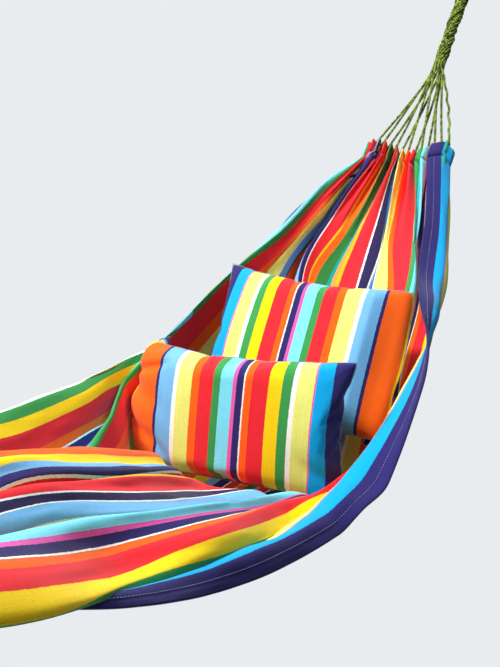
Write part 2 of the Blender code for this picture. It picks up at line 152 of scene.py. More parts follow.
# The cloth's cross-sections from foot to head: x, then points along the section
# (pattern units from the far side hem, y, z).
SECTIONS = [
    (-1.95, [(0, .140, -.590), (45, .150, -.535), (110, .110, -.570), (150, .085, -.615),
        (203, .060, -.535), (255, .035, -.600), (305, .010, -.535), (335, -.005, -.560),
        (372, -.028, -.605), (402, -.050, -.545), (445, -.100, -.560), (480, -.125, -.590),
        (526, -.150, -.575)]),
    (-1.72, [(0, .200, -.730), (54, .216, -.662), (108, .165, -.700), (148, .115, -.755),
        (203, .090, -.665), (258, .052, -.725), (303, .022, -.660), (335, -.012, -.678),
        (373, -.030, -.725), (402, -.062, -.668), (432, -.112, -.674), (448, -.130, -.688),
        (457, -.145, -.700), (464, -.142, -.707), (478, -.130, -.708), (492, -.122, -.700),
        (507, -.124, -.698), (526, -.128, -.706)]),
    (-1.57, [(0, .226, -.788), (54, .246, -.706), (76, .228, -.722), (108, .190, -.760),
        (148, .140, -.815), (185, .115, -.750), (203, .091, -.698), (250, .040, -.712),
        (270, .045, -.765), (300, .012, -.712), (329, -.010, -.726), (347, -.028, -.738),
        (373, -.034, -.785), (400, -.050, -.733), (424, -.074, -.757), (447, -.104, -.772),
        (458, -.122, -.773), (468, -.127, -.784), (480, -.120, -.793), (494, -.122, -.788),
        (507, -.131, -.781), (526, -.147, -.796)]),
    (-1.42, [(0, .244, -.834), (52, .263, -.748), (68, .246, -.762), (88, .225, -.788),
        (114, .195, -.835), (145, .155, -.885), (182, .130, -.820), (203, .100, -.758),
        (232, .060, -.768), (250, .034, -.778), (270, .040, -.835), (292, .012, -.774),
        (316, -.016, -.786), (329, -.032, -.792), (347, -.054, -.803), (373, -.064, -.860),
        (399, -.078, -.790), (412, -.088, -.795), (432, -.110, -.806), (447, -.124, -.814),
        (458, -.134, -.828), (468, -.134, -.842), (480, -.122, -.846), (494, -.132, -.838),
        (507, -.152, -.832), (526, -.168, -.858)]),
    (-1.25, [(0, .262, -.852), (51, .272, -.764), (68, .253, -.777), (87, .240, -.803),
        (103, .233, -.833), (117, .222, -.850), (130, .198, -.806), (150, .186, -.850),
        (176, .158, -.925), (203, .121, -.850), (232, .090, -.858), (250, .068, -.864),
        (270, .060, -.900), (292, .040, -.868), (316, .014, -.880), (347, -.025, -.892),
        (373, -.055, -.930), (399, -.082, -.862), (414, -.093, -.874), (432, -.104, -.868),
        (447, -.118, -.880), (457, -.126, -.892), (467, -.138, -.902), (478, -.138, -.886),
        (490, -.150, -.878), (507, -.176, -.868), (526, -.198, -.889)]),
    (-1.20, [(0, .260, -.850), (52, .268, -.760), (68, .254, -.773), (87, .245, -.801),
        (104, .245, -.838), (120, .235, -.825), (130, .222, -.792), (150, .212, -.845),
        (176, .195, -.925), (203, .160, -.900), (232, .110, -.915), (250, .085, -.918),
        (270, .062, -.925), (292, .042, -.914), (305, .010, -.905), (318, -.022, -.894),
        (329, -.042, -.888), (347, -.066, -.894), (373, -.086, -.906), (399, -.104, -.878),
        (412, -.112, -.878), (432, -.122, -.878), (447, -.134, -.876), (457, -.142, -.885),
        (467, -.152, -.895), (478, -.150, -.884), (490, -.160, -.866), (507, -.187, -.860),
        (526, -.214, -.872)]),
    (-1.14, [(0, .258, -.846), (52, .263, -.757), (68, .253, -.770), (86, .250, -.800),
        (105, .262, -.818), (130, .248, -.782), (150, .245, -.840), (175, .230, -.920),
        (203, .180, -.965), (240, .100, -.968), (270, .060, -.966), (323, .000, -.955),
        (373, -.085, -.955), (399, -.120, -.915), (424, -.137, -.895), (440, -.148, -.870),
        (450, -.160, -.882), (463, -.170, -.893), (476, -.163, -.876), (492, -.168, -.850),
        (507, -.196, -.846), (526, -.231, -.851)]),
    (-0.98, [(0, .268, -.800), (40, .262, -.745), (85, .246, -.780), (127, .226, -.703),
        (149, .226, -.765), (173, .220, -.850), (200, .182, -.915), (240, .095, -.950),
        (300, .000, -.955), (360, -.102, -.938), (400, -.162, -.895), (447, -.186, -.840),
        (468, -.186, -.802), (485, -.188, -.776), (505, -.210, -.752), (526, -.228, -.716)]),
    (-0.85, [(0, .232, -.745), (40, .245, -.700), (85, .230, -.735), (127, .205, -.641),
        (149, .198, -.685), (173, .178, -.745), (197, .140, -.790), (240, .075, -.822),
        (300, .000, -.832), (360, -.075, -.820), (400, -.122, -.798), (438, -.165, -.792),
        (459, -.187, -.765), (474, -.186, -.735), (492, -.204, -.688), (510, -.192, -.664),
        (526, -.171, -.657)]),
    (-0.72, [(0, .198, -.610), (40, .206, -.660), (82, .192, -.680), (118, .168, -.574),
        (145, .156, -.603), (175, .143, -.626), (200, .152, -.670), (220, .144, -.705),
        (240, .124, -.655), (252, .114, -.662), (280, .091, -.686), (298, .043, -.702),
        (327, -.015, -.710), (338, -.024, -.742), (350, -.036, -.707), (376, -.082, -.692),
        (399, -.117, -.663), (424, -.135, -.690), (450, -.162, -.712), (475, -.180, -.685),
        (495, -.173, -.646), (526, -.128, -.631)]),
    (-0.60, [(0, .150, -.515), (26, .160, -.570), (52, .156, -.615), (84, .149, -.575),
        (116, .137, -.500), (142, .125, -.518), (166, .116, -.540), (192, .131, -.575),
        (214, .125, -.605), (236, .105, -.572), (244, .108, -.553), (268, .082, -.578),
        (290, .056, -.597), (316, .017, -.606), (328, -.008, -.610), (340, -.008, -.644),
        (352, -.014, -.609), (376, -.034, -.604), (391, -.074, -.585), (405, -.084, -.590),
        (424, -.100, -.612), (450, -.132, -.628), (475, -.152, -.602), (495, -.145, -.567),
        (526, -.098, -.544)]),
]
# Along the gathered hem: pattern units, y, and how far it is folded out over the inner face
HEM_FOLDS = [(0, .052, -.016), (52, .078, -.014), (98, .099, -.008), (114, .102, -.002),
             (134, .096, .000), (150, .081, .000), (200, .073, .000), (248, .069, .000),
             (262, .058, .000), (276, .047, .000), (287, .041, .000), (300, .031, .000),
             (345, .019, .000), (360, .012, .000), (376, -.004, .000), (391, -.022, .000),
             (400, -.034, .000), (410, -.045, .000), (440, -.062, .000), (472, -.090, .000),
             (488, -.100, .005), (497, -.102, .014), (508, -.082, .023), (526, -.054, .027)]
PLEATED = (140, 478)            # the part of the hem that is gathered in small pleats
PLEAT_EDGE = 12                 # units either side of its ends over which the pleats fade

# ---------------------------------------------------------------- shapes in numbers


def hermite(knots, values, at):
    """A smooth curve through the values at the knots, read at many places."""
    knots = np.asarray(knots, float)
    values = np.asarray(values, float)
    at = np.asarray(at, float)
    slopes = np.empty_like(values)
    slopes[1:-1] = (values[2:] - values[:-2]) / (knots[2:] - knots[:-2])[:, None]
    slopes[0] = (values[1] - values[0]) / (knots[1] - knots[0])
    slopes[-1] = (values[-1] - values[-2]) / (knots[-1] - knots[-2])
    i = np.clip(np.searchsorted(knots, at, side="right") - 1, 0, len(knots) - 2)
    step = (knots[i + 1] - knots[i])[:, None]
    t = ((at - knots[i]) / step[:, 0])[:, None]
    return ((2 * t**3 - 3 * t**2 + 1) * values[i] + (t**3 - 2 * t**2 + t) * step * slopes[i]
            + (3 * t**2 - 2 * t**3) * values[i + 1] + (t**3 - t**2) * step * slopes[i + 1])


def unit(vectors):
    return vectors / np.maximum(np.linalg.norm(vectors, axis=-1, keepdims=True), 1e-12)


def smooth_noise(shape, cells, seed):
    """Smooth noise from -1 to 1 on a grid, with about that many cells each way."""
    grid = np.random.default_rng(seed).uniform(-1, 1, (cells[0] + 3, cells[1] + 3))
    rows = hermite(np.arange(cells[0] + 3), grid, np.linspace(1, cells[0] + 1, shape[0]))
    return hermite(np.arange(cells[1] + 3), rows.T, np.linspace(1, cells[1] + 1, shape[1])).T


def hem_line(shares, head):
    """The gathered hem's middle line; its side panels are folded back on it."""
    over = clew_frame(head)[2]
    folds = np.array(HEM_FOLDS)
    y, out = hermite(folds[:, 0], folds[:, 1:], shares * CLOTH_UNITS).T
    level = HEM_Z + HEM_CROWN * np.cos(np.pi * y / HEM_HALF_WIDTH + np.pi)
    level = level - BAND_DROP * np.maximum(-y - HEM_HALF_WIDTH, 0.0)
    level = level - FOLD_DROP * np.maximum(out, 0.0)
    x = -HEM_X if head else HEM_X - EYE_SPAN
    middle = np.stack([np.full_like(shares, x), y, level], -1)
    return middle + over * (out * (1 if head else -1))[:, None]


def clew_frame(head):
    """The hook point of one end, the way from it down the clew, and the way out of its plane."""
    hook = np.array([0.0 if head else -EYE_SPAN, 0.0, 0.0])
    down = unit(np.array([-HEM_X if head else HEM_X, 0.0, HEM_Z]))
    return hook, down, np.cross(SIDEWAYS, down)


def around(turn, across):
    """The direction from the clew's middle line at an angle round it, from the far side."""
    turn = np.asarray(turn)[..., None]
    return np.cos(turn) * SIDEWAYS + np.sin(turn) * across


def pleat_wave(shares):
    """A rounded zigzag: 1 on each pleat's crest and -1 in the valleys, where the strands enter."""
    folds = np.array(HEM_FOLDS)
    y = hermite(folds[:, 0], folds[:, 1:2], shares * CLOTH_UNITS)[:, 0]
    phase = PLEATS * (HEM_HALF_WIDTH - y) / (2 * HEM_HALF_WIDTH)
    zigzag = 1 - 4 * np.abs(phase - np.round(phase))
    units = shares * CLOTH_UNITS
    from_end = np.minimum(units - PLEATED[0], PLEATED[1] - units)
    inside = np.clip((from_end + PLEAT_EDGE) / (2 * PLEAT_EDGE), 0, 1)
    return (np.sin(zigzag * math.pi / 2) * 0.45 + zigzag * 0.55) * inside


def pleat_depth(width_there):
    """Half the depth of the pleats that take up the cloth where it is gathered."""
    spare = np.maximum(CLOTH_WIDTH**2 - width_there**2, 0)
    return np.sqrt(spare) / (4 * PLEATS)


def outward(grid):
    """The direction square to a grid of points, toward the cloth's inner face."""
    return unit(np.cross(np.gradient(grid, axis=1), np.gradient(grid, axis=0)))


def bed_grid(columns, rows):
    """The cloth as it lies, in rows from foot hem to head hem, its shares across and its xs."""
    shares = np.linspace(0, 1, columns + 1)
    places = [HEM_X - EYE_SPAN] + [x for x, _ in SECTIONS] + [-HEM_X]
    lines = [hem_line(shares, head=False)]
    for x, section in SECTIONS:
        section = np.array(section)
        across = hermite(section[:, 0], section[:, 1:], shares * CLOTH_UNITS)
        lines.append(np.column_stack([np.full(columns + 1, x), across]))
    lines.append(hem_line(shares, head=True))
    xs = np.linspace(places[0], places[-1], rows + 1)
    flat = np.array(lines).reshape(len(lines), -1)
    grid = hermite(places, flat, xs).reshape(rows + 1, columns + 1, 3)
    widths = np.linalg.norm(np.diff(grid, axis=1), axis=2).sum(1)
    from_hem = np.minimum(xs - xs[0], xs[-1] - xs)
    fade = np.clip(1 - from_hem / PLEAT_REACH, 0, 1)
    depth = pleat_depth(widths) * fade
    grid = grid + outward(grid) * (depth[:, None] * pleat_wave(shares)[None, :])[..., None]
    return grid, shares, xs


def bed_wrinkles(grid, xs):
    """Small creases that run along the cloth, softer dents and a fine unevenness."""
    free = np.clip(np.minimum(xs - xs[0], xs[-1] - xs) / WRINKLE_FADE, 0, 1)[:, None]
    depth = sum(smooth_noise(grid.shape[:2], cells, seed) * deep for cells, seed, deep in WRINKLES)
    return grid + outward(grid) * (depth * free)[..., None]


def frames_along(points):
    """Two directions square to a path at each of its points, which don't spin about it."""
    points = np.asarray(points, float)
    along = unit(np.gradient(points, axis=0))
    side = np.empty_like(along)
    start = np.cross(along[0], SIDEWAYS)
    if np.linalg.norm(start) < 0.1:
        start = np.cross(along[0], (1.0, 0.0, 0.0))
    side[0] = start / np.linalg.norm(start)
    for i in range(1, len(points)):
        turned = side[i - 1] - along[i] * (side[i - 1] @ along[i])
        side[i] = turned / np.linalg.norm(turned)
    return side, np.cross(along, side)


def distances(points):
    steps = np.linalg.norm(np.diff(points, axis=0), axis=1)
    return np.concatenate([[0], np.cumsum(steps)])


def resampled(points, count):
    along = distances(points)
    return hermite(along, np.asarray(points, float), np.linspace(0, along[-1], count))


def quads(rows, columns, joined=False, closed=False):
    """Faces between rows of points. A joined row is a ring; closed joins the last row to the first."""
    wide = columns if joined else columns + 1
    tall = rows if closed else rows + 1
    return [(j * wide + i, j * wide + (i + 1) % wide,
             (j + 1) % tall * wide + (i + 1) % wide, (j + 1) % tall * wide + i)
            for j in range(rows) for i in range(columns)]


def flipped_faces(faces):
    return [face[::-1] for face in faces]


class Soup:
    """Points, faces and UVs gathered for one mesh."""

    def __init__(self):
        self.points = []
        self.faces = []
        self.uvs = []
        self.count = 0

    def add(self, points, faces, uvs):
        self.points.append(np.asarray(points, float))
        self.uvs.append(np.asarray(uvs, float))
        self.faces += [tuple(self.count + i for i in face) for face in faces]
        self.count += len(points)

    def tube(self, path, radius, sides=6, closed=False):
        """A round tube along a path, with drawn-in ends unless it is closed."""
        path = np.asarray(path, float)
        side, up = frames_along(path)
        radius = np.broadcast_to(np.asarray(radius, float), (len(path),)).copy()
        if not closed:
            radius[[0, -1]] *= 0.55
        turn = np.linspace(0, 2 * np.pi, sides, endpoint=False)[None, :, None]
        ring = side[:, None] * np.cos(turn) + up[:, None] * np.sin(turn)
        points = (path[:, None] + ring * radius[:, None, None]).reshape(-1, 3)
        uvs = [(s, k / sides) for s in distances(path) for k in range(sides)]
        faces = quads(len(path) - (not closed), sides, True, closed)
        if not closed:
            faces.append(tuple(reversed(range(sides))))
            faces.append(tuple(range(len(points) - sides, len(points))))
        self.add(points, faces, uvs)

    def cord(self, path, diameter, plies, pitch, sides=6, phase=0.0, closed=False):
        """A laid cord: plies twisted round a path."""
        path = np.asarray(path, float)
        side, up = frames_along(path)
        along = distances(path)
        turns = along[-1] / pitch
        if closed:
            turns = round(turns)
        ply = diameter / 2 * PLY_SHARE[plies]
        out = diameter / 2 - ply
        for k in range(plies):
            turn = 2 * np.pi * (k / plies + turns * along / along[-1]) + phase
            line = path + (side * np.cos(turn)[:, None] + up * np.sin(turn)[:, None]) * out
            self.tube(line, ply * PLY_OVERLAP, sides, closed)

    def mesh(self, name, smooth=True):
        mesh = bpy.data.meshes.new(name)
        mesh.from_pydata(np.concatenate(self.points).tolist(), [], self.faces)
        layer = mesh.uv_layers.new(name="UVMap")
        loops = np.empty(len(mesh.loops), np.int32)
        mesh.loops.foreach_get("vertex_index", loops)
        layer.data.foreach_set("uv", np.concatenate(self.uvs)[loops].ravel())
        if smooth:
            mesh.shade_smooth()
        mesh.update()
        return mesh


def show(name, soup, material, body, replaces=(), pose=None):
    """Put a finished soup in the scene as a piece of the object."""
    mesh = soup.mesh(name)
    if pose is not None:
        mesh.transform(pose)
    piece = bpy.data.objects.new(name, mesh)
    bpy.context.scene.collection.objects.link(piece)
    mesh.materials.append(material)
    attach(piece, body)
    if replaces:
        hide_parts(*replaces)
    return piece


def stitches(soup, line, over, radius=0.00038):
    """A row of sewn stitches along a line that lies on the cloth, raised along over."""
    along = distances(line)
    stitch, gap = STITCH
    arch = np.array([-0.6, 0.5, 0.9, 0.5, -0.6])[:, None] * radius
    for k in range(max(1, int(along[-1] / (stitch + gap)))):
        at = k * (stitch + gap) + np.array([0, 0.2, 0.5, 0.8, 1.0]) * stitch
        soup.tube(hermite(along, line, at) + unit(hermite(along, over, at)) * arch, radius, sides=5)


# ---------------------------------------------------------------- materials


def srgb(code):
    channels = [int(code[i:i + 2], 16) / 255 for i in (0, 2, 4)]
    return tuple(c / 12.92 if c <= 0.04045 else ((c + 0.055) / 1.055) ** 2.4 for c in channels)


# The dyed yarns, one green among them darkened past its dye as painted shade; a stripe is (colour,
# pattern units), from a side hem to the middle part
COLOURS = {
    "navy": "2B2568", "dark navy": "2A2250", "cyan": "00A6E6", "pink": "EC5FB4",
    "pale yellow": "E9EE7A", "white": "FAFAF6", "green": "3A9A4E", "yellow": "FFD90A",
    "gold": "FFB80A", "red": "EE2733", "orange": "FF6410", "aqua": "7FE4FA",
    # The last green on the next line is darker than its dye: painted shade, so that it turns near
    # black where the folds shade it
    "light blue": "74B6E8", "teal": "0C9A92", "peach": "FFA24C", "green with painted shade": "2B7A34",
}
OUTER = [("navy", 19), ("cyan", 15), ("pink", 2), ("pale yellow", 16), ("white", 4.5),
         ("green", 9), ("yellow", 13), ("red", 16), ("orange", 7.5), ("white", 1.5),
         ("navy", 7), ("pink", 3.5), ("aqua", 13), ("green", 7.5), ("red", 15),
         ("orange", 8), ("pale yellow", 16), ("white", 5), ("light blue", 18)]
MIDDLE = [("navy", 3), ("orange", 21), ("yellow", 12), ("light blue", 9), ("navy", 9),
          ("white", 2), ("red", 15), ("gold", 3), ("orange", 10), ("green with painted shade", 9),
          ("teal", 3), ("peach", 3), ("gold", 3), ("red", 18), ("white", 2),
          ("dark navy", 9), ("white", 2)]
OUTER_UNITS = sum(width for _, width in OUTER)
MIDDLE_UNITS = sum(width for _, width in MIDDLE)
STRIPE_JITTER = 0.9             # units by which single yarns cross a stripe's edge
WARP_PITCH = 0.0011
WEFT_PITCH = 0.0015


def set_inputs(tree, made, sockets):
    """Set a node's inputs: another node's output is linked, a number or colour is written."""
    for key, value in sockets.items():
        if isinstance(value, bpy.types.NodeSocket):
            tree.links.new(value, made.inputs[key])
        else:
            made.inputs[key].default_value = value


def node(tree, kind, sockets=None, **settings):
    made = tree.nodes.new("ShaderNode" + kind)
    for key, value in settings.items():
        setattr(made, key, value)
    set_inputs(tree, made, sockets or {})
    return made


def maths(tree, operation, a, b=0.0, c=0.0):
    return node(tree, "Math", {0: a, 1: b, 2: c}, operation=operation).outputs[0]


def mixed(tree, share, a, b):
    return node(tree, "Mix", {0: share, 6: a, 7: b}, data_type="RGBA").outputs[2]


def noise_at(tree, where, scale, detail=3.0, rough=0.55):
    sockets = {"Vector": where, "Scale": scale, "Detail": detail, "Roughness": rough}
    return node(tree, "TexNoise", sockets).outputs[0]


def streaks(tree, uv, across, along, detail, rough=0.55):
    """Noise with that many cells a metre across and along the cloth."""
    where = node(tree, "Mapping", {"Vector": uv, "Scale": (across, along, 1.0)}).outputs[0]
    return noise_at(tree, where, 1.0, detail, rough)


def bumped(tree, height, strength, depth=0.0004):
    sockets = {"Strength": strength, "Distance": depth, "Height": height}
    return node(tree, "Bump", sockets).outputs[0]


def blended(tree, share, dark, light):
    """From a dark colour to a light one by a share that may run past 0 or 1."""
    share = node(tree, "Clamp", {0: share}).outputs[0]
    return mixed(tree, share, (*srgb(dark), 1.0), (*srgb(light), 1.0))


def stripe_ramp(tree, stripes, place):
    ramp = node(tree, "ValToRGB", {0: place})
    ramp.color_ramp.interpolation = "CONSTANT"
    elements = ramp.color_ramp.elements
    whole = sum(width for _, width in stripes)
    start = 0.0
    for k, (name, width) in enumerate(stripes):
        element = elements[k] if k < 2 else elements.new(start / whole)
        element.position = start / whole
        element.color = (*srgb(COLOURS[name]), 1.0)
        start += width
    return ramp.outputs[0]


def striped(tree, units):
    """The woven stripes, mirrored outside the middle, from the place across the cloth."""
    from_side = maths(tree, "MINIMUM", units, maths(tree, "SUBTRACT", CLOTH_UNITS, units))
    outer = stripe_ramp(tree, OUTER, maths(tree, "DIVIDE", from_side, OUTER_UNITS))
    past_outer = maths(tree, "SUBTRACT", units, OUTER_UNITS)
    middle = stripe_ramp(tree, MIDDLE, maths(tree, "DIVIDE", past_outer, MIDDLE_UNITS))
    return mixed(tree, maths(tree, "GREATER_THAN", from_side, OUTER_UNITS), outer, middle)


def start_material(name):
    made = bpy.data.materials.new(name)
    made.use_nodes = True
    shader = made.node_tree.nodes["Principled BSDF"]
    return made, made.node_tree, shader


def cotton(name):
    """Striped cotton: thick warp yarns packed over a finer weft."""
    made, tree, shader = start_material(name)
    uv = node(tree, "UVMap", uv_map="UVMap").outputs[0]
    across, along, _ = node(tree, "SeparateXYZ", {0: uv}).outputs
    jitter = maths(tree, "SUBTRACT", streaks(tree, uv, 900.0, 160.0, 1.0), 0.5)
    units = maths(tree, "MULTIPLY_ADD", jitter, STRIPE_JITTER, maths(tree, "DIVIDE", across, UNIT))
    warp = maths(tree, "SINE", maths(tree, "MULTIPLY", across, 2 * math.pi / WARP_PITCH))
    weft = maths(tree, "SINE", maths(tree, "MULTIPLY", along, 2 * math.pi / WEFT_PITCH))
    weave = maths(tree, "MULTIPLY", warp, weft)
    yarns = streaks(tree, uv, 620.0, 9.0, 4.0, 0.6)
    slubs = streaks(tree, uv, 70.0, 420.0, 3.0, 0.6)
    grain = streaks(tree, uv, 520.0, 380.0, 2.0, 0.7)
    clouds = noise_at(tree, uv, 7.0)
    shade = maths(tree, "MULTIPLY_ADD", weave, 0.12, 0.41)
    for pattern, strength in ((grain, 0.42), (yarns, 0.36), (slubs, 0.26), (clouds, 0.20)):
        shade = maths(tree, "MULTIPLY_ADD", pattern, strength, shade)
    # The shade is a number, so the stripes' colour is scaled by it
    colour = node(tree, "VectorMath", {0: striped(tree, units), 3: shade}, operation="SCALE")
    height = maths(tree, "MULTIPLY_ADD", weave, 0.5, maths(tree, "MULTIPLY", warp, 0.3))
    height = maths(tree, "MULTIPLY_ADD", slubs, 1.6, height)
    set_inputs(tree, shader, {
        "Base Color": colour.outputs[0], "Normal": bumped(tree, height, 0.55),
        "Roughness": maths(tree, "MULTIPLY_ADD", yarns, 0.16, 0.78),
        "Specular IOR Level": 0.18, "Sheen Weight": 0.14, "Sheen Roughness": 0.45})
    return made


def yarn(name, dark, light, rough=0.8, fibre=0.0011):
    """Twisted yarn whose fibres wind round it: u runs along it and v round it."""
    made, tree, shader = start_material(name)
    uv = node(tree, "UVMap", uv_map="UVMap").outputs[0]
    along, round_it, _ = node(tree, "SeparateXYZ", {0: uv}).outputs
    wound = maths(tree, "MULTIPLY_ADD", round_it, 3.0, maths(tree, "DIVIDE", along, fibre * 4))
    lines = maths(tree, "SINE", maths(tree, "MULTIPLY", wound, 2 * math.pi))
    lines = maths(tree, "MULTIPLY_ADD", lines, 0.5, 0.5)
    patches = noise_at(tree, node(tree, "TexCoord").outputs["Object"], 120.0, 3.0, 0.6)
    share = maths(tree, "MULTIPLY_ADD", lines, 0.55, maths(tree, "MULTIPLY", patches, 3.0))
    share = maths(tree, "SUBTRACT", share, 1.45)
    set_inputs(tree, shader, {
        "Base Color": blended(tree, share, dark, light), "Normal": bumped(tree, lines, 0.8),
        "Roughness": maths(tree, "MULTIPLY_ADD", patches, 0.2, rough - 0.1),
        "Specular IOR Level": 0.25, "Sheen Weight": 0.1})
    return made


def grained(name, dark, light, scale, rough, metallic=0.0, depth=0.0004, specular=0.5):
    """A mottled surface with a fine grain: leather, non-woven felt, tape or cast metal."""
    made, tree, shader = start_material(name)
    where = node(tree, "TexCoord").outputs["Object"]
    cells = node(tree, "TexVoronoi", {"Vector": where, "Scale": scale}, feature="DISTANCE_TO_EDGE")
    grain = noise_at(tree, where, scale * 2.2, 4.0, 0.6)
    clouds = noise_at(tree, where, scale * 0.08)
    share = maths(tree, "MULTIPLY_ADD", grain, 0.5, maths(tree, "MULTIPLY", clouds, 0.6))
    height = maths(tree, "MULTIPLY", cells.outputs[0], 1.2)
    height = maths(tree, "MULTIPLY_ADD", grain, 0.4, height)
    set_inputs(tree, shader, {
        "Base Color": blended(tree, share, dark, light),
        "Normal": bumped(tree, height, 0.5, depth),
        "Roughness": maths(tree, "MULTIPLY_ADD", grain, 0.25, rough - 0.12),
        "Metallic": metallic, "Specular IOR Level": specular})
    return made


bed_cotton = cotton("striped_cotton")
pillow_cotton = cotton("striped_pillow_cotton")
green_cord = yarn("green_cord", "262C06", "A9CC42")
dark_twine = yarn("dark_green_twine", "26380C", "52701C", fibre=0.0006)
seam_thread = yarn("seam_thread", "20242E", "3C4450", fibre=0.0004)
hem_thread = yarn("hem_thread", "8C92C8", "C4C8EC", fibre=0.0004)
leather = grained("wear_leather", "3A2414", "6B452A", 900.0, 0.55)
felt = grained("filling_felt", "D8D6CE", "F4F2EC", 500.0, 0.92, depth=0.0008, specular=0.1)
zip_tape = grained("zip_tape", "15123A", "2C2868", 1500.0, 0.75, specular=0.2)
zip_coil = grained("zip_coil", "201C50", "3A3680", 900.0, 0.45, depth=0.00005, specular=0.4)
nickel = grained("nickel", "8C8C8E", "BEBEC0", 1200.0, 0.34, metallic=1.0, depth=0.00005)

# ---------------------------------------------------------------- camera and light

CAMERA_PLACE = (-2.02, -0.505, -0.333)
CAMERA_LOOK = math.radians(30)  # from +X toward +Y
CAMERA_TILT = math.radians(18)  # downward
CAMERA_LENS = 50.4
AMBIENT = 0.30
BELOW = 0.16                    # the share of it that comes from under the horizon
HORIZON = (-0.35, 0.25)         # it changes between these heights of the direction
PALE = "E8ECEF"
FLOOR_COLOUR = (0.80, 0.82, 0.84, 1.0)
FLOOR_GLOW = 0.80               # in the middle, where the shadow falls; the rim glows fully
FLOOR_MIDDLE = (-1.3, 0.0, -2.3)
FLOOR_RADIUS = 1.5
FLOOR_FADE = (0.2, 0.9 * FLOOR_RADIUS)
# Soft lights: place, what they point at, size and power
LIGHTS = {"key": ((-2.5, 1.7, 2.7), (-1.0, 0.0, -0.7), 1.0, 225.0),
          "top": ((-0.9, 0.4, 2.6), (-1.1, 0.0, -0.8), 2.2, 48.0),
          "back": ((1.4, 2.4, 1.2), (-1.0, 0.0, -0.7), 2.0, 30.0)}


def aim(thing, place, forward):
    """Put a camera or a light in the scene, pointing along a direction."""
    thing.location = place
    thing.rotation_mode = "QUATERNION"
    thing.rotation_quaternion = forward.to_track_quat("-Z", "Y")
    bpy.context.scene.collection.objects.link(thing)


def build_camera():
    data = bpy.data.cameras.new("camera")
    data.sensor_fit = "HORIZONTAL"
    data.sensor_width = 36.0
    data.lens = CAMERA_LENS
    data.clip_start = 0.02
    camera = bpy.data.objects.new("camera", data)
    level = math.cos(CAMERA_TILT)
    aim(camera, CAMERA_PLACE, Vector((level * math.cos(CAMERA_LOOK), level * math.sin(CAMERA_LOOK),
                                      -math.sin(CAMERA_TILT))))
    bpy.context.scene.camera = camera


def build_light(name, place, target, size, power):
    data = bpy.data.lights.new(name, "AREA")
    data.shape = "DISK"
    data.size = size
    data.energy = power
    aim(bpy.data.objects.new(name, data), place, Vector(target) - Vector(place))


def build_sky():
    """A pale backdrop that lights the object less, and least from below."""
    world = bpy.data.worlds.new("studio")
    bpy.context.scene.world = world
    world.use_nodes = True
    tree = world.node_tree
    seen = node(tree, "LightPath").outputs["Is Camera Ray"]
    direction = node(tree, "TexCoord").outputs["Generated"]
    upward = node(tree, "SeparateXYZ", {0: direction}).outputs[2]
    sky = node(tree, "MapRange", {0: upward, 1: HORIZON[0], 2: HORIZON[1], 3: AMBIENT * BELOW,
                                  4: AMBIENT}, interpolation_type="SMOOTHSTEP").outputs[0]
    lit = maths(tree, "MULTIPLY_ADD", seen, maths(tree, "SUBTRACT", 1.0, sky), sky)
    set_inputs(tree, tree.nodes["Background"], {0: (*srgb(PALE), 1.0), 1: lit})


def build_floor():
    """A round pale floor whose rim melts into the backdrop."""
    soup = Soup()
    ring = np.linspace(0, 2 * np.pi, 96, endpoint=False)
    rim = np.stack([np.cos(ring), np.sin(ring), np.zeros_like(ring)], -1) * FLOOR_RADIUS
    soup.add(rim + FLOOR_MIDDLE, [tuple(range(len(rim)))], rim[:, :2])
    floor = bpy.data.objects.new("floor", soup.mesh("floor", smooth=False))
    bpy.context.scene.collection.objects.link(floor)
    made, tree, shader = start_material("floor")
    set_inputs(tree, shader, {"Base Color": FLOOR_COLOUR, "Roughness": 0.9})
    glow = node(tree, "Emission", {0: (*srgb(PALE), 1.0), 1: 1.0})
    where = node(tree, "UVMap", uv_map="UVMap").outputs[0]
    reach = node(tree, "VectorMath", {0: where}, operation="LENGTH").outputs[1]
    far = node(tree, "MapRange", {0: reach, 1: FLOOR_FADE[0], 2: FLOOR_FADE[1], 3: FLOOR_GLOW,
                                  4: 1.0}, interpolation_type="SMOOTHSTEP").outputs[0]
    blend = node(tree, "MixShader", {0: far, 1: shader.outputs[0], 2: glow.outputs[0]})
    tree.links.new(blend.outputs[0], tree.nodes["Material Output"].inputs[0])
    floor.data.materials.append(made)


build_camera()
build_sky()
build_floor()
for light_name, light in LIGHTS.items():
    build_light(light_name, *light)
bpy.context.scene.view_settings.view_transform = "Standard"

# ---------------------------------------------------------------- clews


def strand_angle(i):
    """Where a strand enters the twist: the odd ones over the middle line, the even ones under."""
    return (1 if i % 2 else -1) * math.pi * (i + 0.5) / STRANDS


def strand_route(i, head):
    """One strand from inside the channel, where it holds the header cord, to the twist."""
    hook, down, across = clew_frame(head)
    hem = hem_line(np.linspace(*PLEATED, 200) / CLOTH_UNITS, head)
    placed = distances(hem)
    share = np.array([(i + 0.5) / STRANDS])
    start = hermite(placed, hem, share * placed[-1])[0] - down * (CHANNEL_LENGTH - CORD)
    turn = strand_angle(i)
    drawn = hook + down * GATHER + around(turn - GATHER_TURN, across) * GATHER_RING
    finish = hook + down * (BUNDLE_START + 4 * GAP) + around(turn, across) * RING
    t = np.linspace(0, 1, 96)[:, None]
    route = np.where(t < GATHER_SHARE, start + (drawn - start) * t / GATHER_SHARE,
                     drawn + (finish - drawn) * (t - GATHER_SHARE) / (1 - GATHER_SHARE))
    for _ in range(STRAND_ROUNDING):
        route[1:-1] = (route[:-2] + 2 * route[1:-1] + route[2:]) / 4
    rng = np.random.default_rng(40 + i + (0 if head else 50))
    sag = np.array([0.0, 0.0, -1.0]) * (STRAND_SAG[0] + STRAND_SAG[1] * rng.random())
    bow = SIDEWAYS * rng.uniform(-STRAND_BOW, STRAND_BOW)
    free = np.sin(np.pi * np.clip(t / GATHER_SHARE, 0, 1))
    route = route + (sag + bow) * free
    if i == STRANDS - 1:
        kinks = np.sin(t * 2 * np.pi * SLACK_KINKS) * np.array(SLACK_WAVE)
        route = route + (kinks + np.array(SLACK_SAG)) * free
    return route


